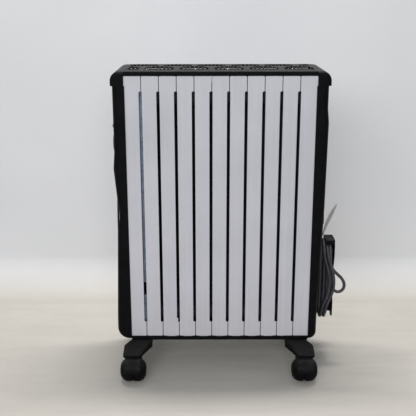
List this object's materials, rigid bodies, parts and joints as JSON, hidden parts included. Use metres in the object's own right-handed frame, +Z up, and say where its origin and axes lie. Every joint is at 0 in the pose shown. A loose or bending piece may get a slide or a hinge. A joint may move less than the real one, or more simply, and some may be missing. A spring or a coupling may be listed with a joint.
{
  "type": "oil filled radiator heater",
  "caption": "Portable oil filled radiator heater with flat slatted faces, black end grips and vented top cover, cord winder, mains cord with plug, and feet on swivel casters",
  "frame": {"origin": "middle of the footprint on the floor, below the middle of the body's full width between the outermost rocker key and the winder's flange", "axes": "+Z up, +X from the control end to the winder end, -Y towards the front face"},
  "size_m": [0.5123, 0.3124, 0.6685],
  "materials": {
    "slat_enamel": "semi-gloss enamel",
    "galvanised_steel": "galvanised sheet",
    "bright_steel": "zinc plated",
    "element_metal": "heat tinted tube",
    "brass_fitting": "plain",
    "black_plastic": "satin moulded",
    "black_gloss": "smooth moulded",
    "caster_plastic": "satin moulded",
    "cord_jacket": "soft jacket",
    "tag_paper": "coated card",
    "pilot_amber": "clear amber",
    "insulator": "plain",
    "wire_jacket": "sleeved",
    "heat_oil": "clear liquid"
  },
  "bodies": {
    "heater": {"bottom_cover": "black_plastic", "control_bezel": "black_gloss", "control_end_cover": "black_plastic", "cord_hank": "cord_jacket", "cord_lead": "cord_jacket", "cord_loop": "cord_jacket", "cord_outlet": "black_plastic", "cord_tag": "tag_paper", "cord_tail": "cord_jacket", "cord_winder": "black_plastic", "cover_screws": "bright_steel", "element_flange": "brass_fitting", "end_bracket": "slat_enamel", "end_slats": "slat_enamel", "fin_01": "slat_enamel", "fin_02": "slat_enamel", "fin_03": "slat_enamel", "fin_04": "slat_enamel", "fin_05": "slat_enamel", "fin_06": "slat_enamel", "fin_07": "slat_enamel", "fin_08": "slat_enamel", "fin_09": "slat_enamel", "fin_10": "slat_enamel", "foot_fasteners": "bright_steel", "foot_left": "black_plastic", "foot_right": "black_plastic", "grip_cap_control": "black_plastic", "grip_cap_winder": "black_plastic", "header_fittings": "slat_enamel", "heat_shield": "galvanised_steel", "heating_elements": "element_metal", "oil_fill": "heat_oil", "pilot_lens": "pilot_amber", "plug": "black_gloss", "strain_relief": "cord_jacket", "switch_bodies": "black_plastic", "terminal_block": "insulator", "thermal_cutout": "bright_steel", "thermostat_body": "insulator", "tip_over_switch": "insulator", "top_cover": "black_plastic", "winder_end_cover": "black_plastic", "wiring": "wire_jacket"},
    "caster_front_left": {"caster_hood_front_left": "caster_plastic", "caster_pins_front_left": "bright_steel"},
    "wheels_front_left": {"caster_wheels_front_left": "caster_plastic"},
    "caster_front_right": {"caster_hood_front_right": "caster_plastic", "caster_pins_front_right": "bright_steel"},
    "wheels_front_right": {"caster_wheels_front_right": "caster_plastic"},
    "caster_rear_left": {"caster_hood_rear_left": "caster_plastic", "caster_pins_rear_left": "bright_steel"},
    "wheels_rear_left": {"caster_wheels_rear_left": "caster_plastic"},
    "caster_rear_right": {"caster_hood_rear_right": "caster_plastic", "caster_pins_rear_right": "bright_steel"},
    "wheels_rear_right": {"caster_wheels_rear_right": "caster_plastic"},
    "dial": {"thermostat_dial": "black_gloss"},
    "rocker_upper": {"power_rocker_upper": "black_gloss"},
    "rocker_lower": {"power_rocker_lower": "black_gloss"},
    "tip_pendulum": {"tip_over_weight": "bright_steel"}
  },
  "joints": [
    {"name": "swivel_front_left", "type": "hinge", "parent": "heater", "child": "caster_front_left", "pos_m": [-0.2043, -0.115, 0.06], "axis": [0, 0, 1], "continuous": true},
    {"name": "wheel_spin_front_left", "type": "hinge", "parent": "caster_front_left", "child": "wheels_front_left", "pos_m": [-0.2043, -0.127, 0.025], "axis": [1, 0, 0], "continuous": true},
    {"name": "swivel_front_right", "type": "hinge", "parent": "heater", "child": "caster_front_right", "pos_m": [0.1697, -0.115, 0.06], "axis": [0, 0, 1], "continuous": true},
    {"name": "wheel_spin_front_right", "type": "hinge", "parent": "caster_front_right", "child": "wheels_front_right", "pos_m": [0.1697, -0.127, 0.025], "axis": [1, 0, 0], "continuous": true},
    {"name": "swivel_rear_left", "type": "hinge", "parent": "heater", "child": "caster_rear_left", "pos_m": [-0.2043, 0.115, 0.06], "axis": [0, 0, 1], "continuous": true},
    {"name": "wheel_spin_rear_left", "type": "hinge", "parent": "caster_rear_left", "child": "wheels_rear_left", "pos_m": [-0.2043, 0.127, 0.025], "axis": [1, 0, 0], "continuous": true},
    {"name": "swivel_rear_right", "type": "hinge", "parent": "heater", "child": "caster_rear_right", "pos_m": [0.1697, 0.115, 0.06], "axis": [0, 0, 1], "continuous": true},
    {"name": "wheel_spin_rear_right", "type": "hinge", "parent": "caster_rear_right", "child": "wheels_rear_right", "pos_m": [0.1697, 0.127, 0.025], "axis": [1, 0, 0], "continuous": true},
    {"name": "thermostat_turn", "type": "hinge", "parent": "heater", "child": "dial", "pos_m": [-0.2368, -0.03, 0.512], "axis": [-1, 0, 0], "range_deg": [0, 270]},
    {"name": "rocker_upper_press", "type": "hinge", "parent": "heater", "child": "rocker_upper", "pos_m": [-0.2322, -0.03, 0.553], "axis": [0, 1, 0], "range_deg": [-16, 0]},
    {"name": "rocker_lower_press", "type": "hinge", "parent": "heater", "child": "rocker_lower", "pos_m": [-0.2322, -0.03, 0.472], "axis": [0, 1, 0], "range_deg": [-16, 0]},
    {"name": "tip_over_swing", "type": "hinge", "parent": "heater", "child": "tip_pendulum", "pos_m": [-0.2158, 0.028, 0.136], "axis": [1, 0, 0], "range_deg": [-18, 18]}
  ]
}
